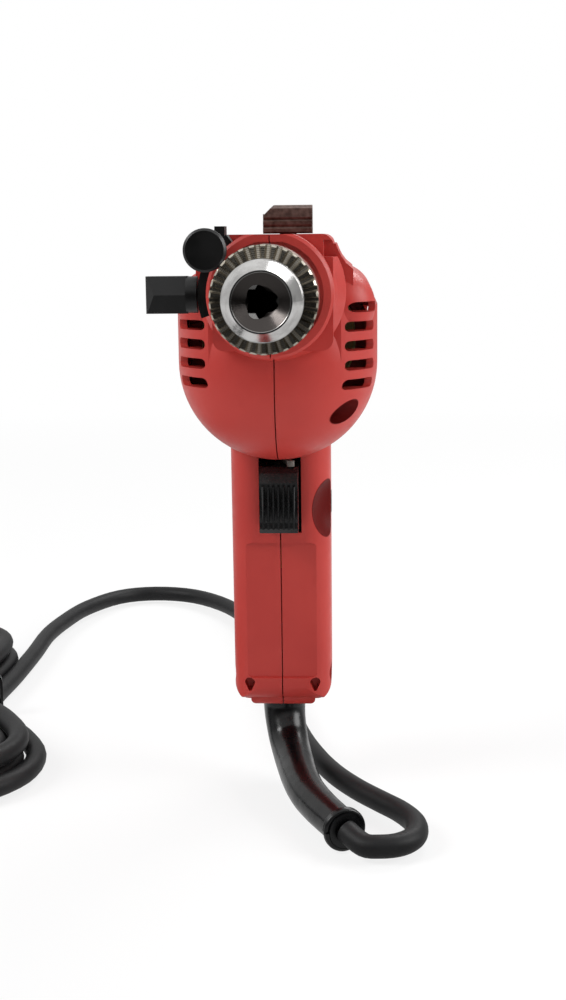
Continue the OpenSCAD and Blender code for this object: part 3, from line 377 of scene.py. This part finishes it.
finishes = {
    "red_plastic": makeRedNylon(),
    "black_plastic": makeBlackNylon(),
    "grey_plastic": makeInner("mouldedAcetalGrey", "#5d5751", "#6a645e", 0.0, (0.35, 0.5), 0.002),
    "olive_plastic": makeInner("mouldedNylonOlive", "#6f6636", "#8b8148", 0.0, (0.4, 0.6), 0.006),
    "steel": makeTurnedSteel(),
    "chrome": makeChrome(),
    "iron": makeInner("siliconSteelSheet", "#4a4744", "#67625c", 0.9, (0.35, 0.6), 0.003),
    "copper": makeInner("enamelledCopper", "#7c3a22", "#a65a35", 0.8, (0.25, 0.45), 0.001),
    "brass": makeInner("rolledBrass", "#a98742", "#c9a75c", 1.0, (0.2, 0.4), 0.004),
    "carbon": makeInner("pressedCarbon", "#161616", "#242424", 0.0, (0.6, 0.8), 0.0006),
    "film": makeInner("castResinYellow", "#b98f2c", "#cfa743", 0.0, (0.3, 0.4), 0.004),
    "rubber": makeCordSheath(),
}
slotOf = {part["node"]: part["material_slot"] for part in frame["record"]["subparts"]}
special = {   # pieces whose steel or plastic differs from the rest of their slot
    "chuck_body": makeTurnedSteel("turnedChuckSteel", bore=0.0089),
    "chuck_sleeve": makeTurnedSteel("hobbedSleeveSteel", "#c2bbae", "#857d70", 0.0006, (0.16, 0.3)),
    "spindle": makeTurnedSteel("darkSpindleSteel", "#3b3835", "#26231f", 0.0004, (0.35, 0.5)),
    "trigger": makeTriggerNylon(),
    # painted reflection: the selector's plate is coloured brown for the red housing it mirrors
    "mode_selector": makeInner("zincWithPaintedReflection", "#4a3731", "#6c564e", 0.6, (0.4, 0.55), 0.002),
    "field_core": makeInner("varnishedCoreSheet", "#c3b768", "#d6cb84", 0.0, (0.3, 0.5), 0.004),
}
for name, piece in nodes.items():
    for holder in piece.material_slots:
        holder.material = special.get(name) or finishes[slotOf[name]]
cordPiece.data.materials.append(finishes["rubber"])
print("materials set")


# Bend protector: a long tapered boot that hangs from the foot of the grip
taper = 1 - protector["endDiameter"] / protector["topDiameter"]
protectorShares = [1 - taper * i / (len(protectorLine) - 1) for i in range(len(protectorLine))]
protectorPiece = curveThrough("bendProtector", protectorLine, protectorShares,
                              protector["topDiameter"] / 2 * millimetre, fill=10, steps=6)
protectorPiece.data.materials.append(makeProtectorRubber())
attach(protectorPiece, "housing")
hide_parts("bend_protector")

# Two turns of rubber cord that pinch the boot's end
ring = {"radius": 7.0, "thick": 1.1, "spacing": 2.0, "back": 3.0, "turns": 2, "steps": 48}
endWay = (protectorLine[-1] - protectorLine[-2]).normalized()
sideWay = endWay.cross(Vector((0, 0, 1))).normalized()
upWay = sideWay.cross(endWay)
ringPoints = []
for i in range(ring["steps"] + 1):
    turn = math.radians(i * 360 * ring["turns"] / ring["steps"])
    ringPoints.append(protectorLine[-1] - endWay * (ring["back"] - ring["spacing"] * i / ring["steps"])
                      + (sideWay * math.cos(turn) + upWay * math.sin(turn)) * ring["radius"])
ringPiece = curveThrough("bootRing", ringPoints, None, ring["thick"] * millimetre, fill=4, steps=3)
ringPiece.data.materials.append(protectorPiece.data.materials[0])
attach(ringPiece, "housing")
print("bend protector made")


# Trigger ribs: seven upright bars over the hollow of the finger pad
triggerRibs = {"Ribs": 7, "Pitch": 0.0019, "Height": 0.0162, "Radius": 0.00048, "Depth Share": 1.8,
               "Place": (0.0, 0.0376, -0.0808)}


def makeRibGroup():
    group = bpy.data.node_groups.new("uprightRibs", "GeometryNodeTree")
    group.interface.new_socket("Geometry", in_out="OUTPUT", socket_type="NodeSocketGeometry")
    kinds = {"Ribs": "NodeSocketInt", "Place": "NodeSocketVector", "Material": "NodeSocketMaterial"}
    for name in list(triggerRibs) + ["Material"]:
        group.interface.new_socket(name, in_out="INPUT", socket_type=kinds.get(name, "NodeSocketFloat"))
    given = addNode(group, "NodeGroupInput").outputs
    step = addNode(group, "ShaderNodeCombineXYZ", links={"X": given["Pitch"]})
    line = addNode(group, "GeometryNodeMeshLine", links={"Count": given["Ribs"], "Offset": step.outputs[0]})
    bar = addNode(group, "GeometryNodeMeshCylinder", sockets={"Vertices": 24},
                  links={"Radius": given["Radius"], "Depth": given["Height"]})
    share = addNode(group, "ShaderNodeCombineXYZ", sockets={"X": 1.0, "Z": 1.0}, links={"Y": given["Depth Share"]})
    copies = addNode(group, "GeometryNodeInstanceOnPoints",
                     links={"Points": line.outputs[0], "Instance": bar.outputs["Mesh"], "Scale": share.outputs[0]})
    count = addNode(group, "ShaderNodeMath", settings={"operation": "MULTIPLY_ADD"},
                    sockets={1: -0.5, 2: 0.5}, links={0: given["Ribs"]})
    back = addNode(group, "ShaderNodeVectorMath", settings={"operation": "SCALE"},
                   links={0: step.outputs[0], "Scale": count.outputs[0]})
    middle = addNode(group, "ShaderNodeVectorMath", settings={"operation": "ADD"},
                     links={0: back.outputs[0], 1: given["Place"]})
    moved = addNode(group, "GeometryNodeTransform",
                    links={"Geometry": addNode(group, "GeometryNodeRealizeInstances",
                                               links={"Geometry": copies.outputs[0]}).outputs[0],
                           "Translation": middle.outputs[0]})
    dressed = addNode(group, "GeometryNodeSetMaterial",
                      links={"Geometry": moved.outputs[0], "Material": given["Material"]})
    addNode(group, "NodeGroupOutput", links={"Geometry": dressed.outputs[0]})
    return group


# Builds one mesh from a node group and its named values
def bakeGroup(name, group, values, material):
    holder = bpy.data.objects.new(name + "Maker", bpy.data.meshes.new(name + "Maker"))
    bpy.context.scene.collection.objects.link(holder)
    modifier = holder.modifiers.new("maker", "NODES")
    modifier.node_group = group
    for item in group.interface.items_tree:
        if item.item_type == "SOCKET" and item.in_out == "INPUT":
            modifier[item.identifier] = material if item.name == "Material" else values[item.name]
    graph = bpy.context.evaluated_depsgraph_get()
    mesh = bpy.data.meshes.new_from_object(holder.evaluated_get(graph))
    bpy.data.objects.remove(holder)
    piece = bpy.data.objects.new(name, mesh)
    bpy.context.scene.collection.objects.link(piece)
    return piece


ribPiece = bakeGroup("triggerRibs", makeRibGroup(), triggerRibs, special["trigger"])
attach(ribPiece, "trigger")
print("trigger ribs made")


# Floor, backdrop and lamps
stage = {
    "floor": -0.199, "size": 1.6,
    "floorShow": 0.8, "fadeStart": 0.5, "fadeEnd": 1.4,   # how white the floor looks, near and far
    "floorFront": 0.03, "floorBack": 0.9,   # how bright metal mirrors it
    "worldLight": 0.28,
    "frontGlow": 0.02, "sideGlow": 0.8, "topGlow": 1.0, "rightShare": 0.4,   # and the room
}
floorMesh = bpy.data.meshes.new("studioFloor")
half = stage["size"]
floorMesh.from_pydata([(-half, -half, stage["floor"]), (half, -half, stage["floor"]), (half, half, stage["floor"]),
                       (-half, half, stage["floor"])], [], [(0, 1, 2, 3)])
floorObject = bpy.data.objects.new("studioFloor", floorMesh)
bpy.context.scene.collection.objects.link(floorObject)


floorMaterial = bpy.data.materials.new("paintedCove")
floorMaterial.use_nodes = True
tree = floorMaterial.node_tree
tree.nodes.clear()
paint = addNode(tree, "ShaderNodeBsdfDiffuse", sockets={"Color": hexColour("#f4f4f4")})
# The floor turns to plain white well away from the drill, so that no horizon shows.
# What shines mirrors it dark in front of the drill and white beside it.
ground = addNode(tree, "ShaderNodeTexCoord").outputs["Object"]
away = addNode(tree, "ShaderNodeVectorMath", settings={"operation": "LENGTH"}, links={0: ground})
fade = mapRange(tree, away.outputs["Value"], stage["floorShow"], 1.0, stage["fadeStart"], stage["fadeEnd"])
path = addNode(tree, "ShaderNodeLightPath").outputs
seen = addNode(tree, "ShaderNodeMath", settings={"operation": "MULTIPLY"},
               links={0: fade, 1: path["Is Camera Ray"]})
frontBack = addNode(tree, "ShaderNodeSeparateXYZ", links={"Vector": ground}).outputs["Y"]
mirrored = mapRange(tree, frontBack, stage["floorFront"], stage["floorBack"], -0.5, 0.2)
glow = addNode(tree, "ShaderNodeEmission", sockets={"Color": (1, 1, 1, 1)},
               links={"Strength": largest(tree, path["Is Camera Ray"], mirrored)})
blend = addNode(tree, "ShaderNodeMixShader",
                links={"Fac": largest(tree, seen.outputs[0], path["Is Glossy Ray"])})
tree.links.new(paint.outputs[0], blend.inputs[1])
tree.links.new(glow.outputs[0], blend.inputs[2])
ending = addNode(tree, "ShaderNodeOutputMaterial")
tree.links.new(blend.outputs[0], ending.inputs["Surface"])
floorMesh.materials.append(floorMaterial)

world = bpy.data.worlds.new("studioWorld")
bpy.context.scene.world = world
world.use_nodes = True
tree = world.node_tree
tree.nodes.clear()
lit = addNode(tree, "ShaderNodeBackground", sockets={"Color": (1, 1, 1, 1), "Strength": stage["worldLight"]})
# The room behind the camera is dark and white cloth hangs overhead and at the sides, as metal mirrors them
way = addNode(tree, "ShaderNodeSeparateXYZ",
              links={"Vector": addNode(tree, "ShaderNodeTexCoord").outputs["Generated"]})
beside = mapRange(tree, way.outputs["Y"], stage["frontGlow"], stage["sideGlow"], -0.5, 0.3)
leftRight = mapRange(tree, way.outputs["X"], 1.0, stage["rightShare"], -0.2, 0.3)
beside = addNode(tree, "ShaderNodeMath", settings={"operation": "MULTIPLY"}, links={0: beside, 1: leftRight}).outputs[0]
above = mapRange(tree, way.outputs["Z"], 0.0, stage["topGlow"], 0.25, 0.6)
path = addNode(tree, "ShaderNodeLightPath").outputs
white = addNode(tree, "ShaderNodeBackground", sockets={"Color": (1, 1, 1, 1)},
                links={"Strength": largest(tree, path["Is Camera Ray"], largest(tree, beside, above))})
blend = addNode(tree, "ShaderNodeMixShader",
                links={"Fac": largest(tree, path["Is Camera Ray"], path["Is Glossy Ray"])})
tree.links.new(lit.outputs[0], blend.inputs[1])
tree.links.new(white.outputs[0], blend.inputs[2])
ending = addNode(tree, "ShaderNodeOutputWorld")
tree.links.new(blend.outputs[0], ending.inputs["Surface"])

lamps = {   # place, what it points at, size, watts and whether metal mirrors it
    "keyLamp": ((-1.25, -0.4, 0.95), (0, 0, -0.03), 0.7, 18.0, True),
    "fillLamp": ((1.3, -0.1, 0.55), (0, 0, -0.03), 0.8, 15.5, True),
    "rimLamp": ((0.5, 0.9, 0.9), (0, 0, 0), 0.6, 8.0, True),
    "lowLamp": ((0.3, -1.3, -0.12), (0, 0, -0.08), 0.9, 1.9, False),
}
for name, (place, target, size, watts, inMetal) in lamps.items():
    data = bpy.data.lights.new(name, "AREA")
    data.size = size
    data.energy = watts
    lamp = bpy.data.objects.new(name, data)
    lamp.location = place
    lamp.rotation_euler = (Vector(target) - Vector(place)).to_track_quat("-Z", "Y").to_euler()
    lamp.visible_glossy = inMetal
    bpy.context.scene.collection.objects.link(lamp)
bpy.context.scene.view_settings.view_transform = "Standard"
print("stage and lamps set")
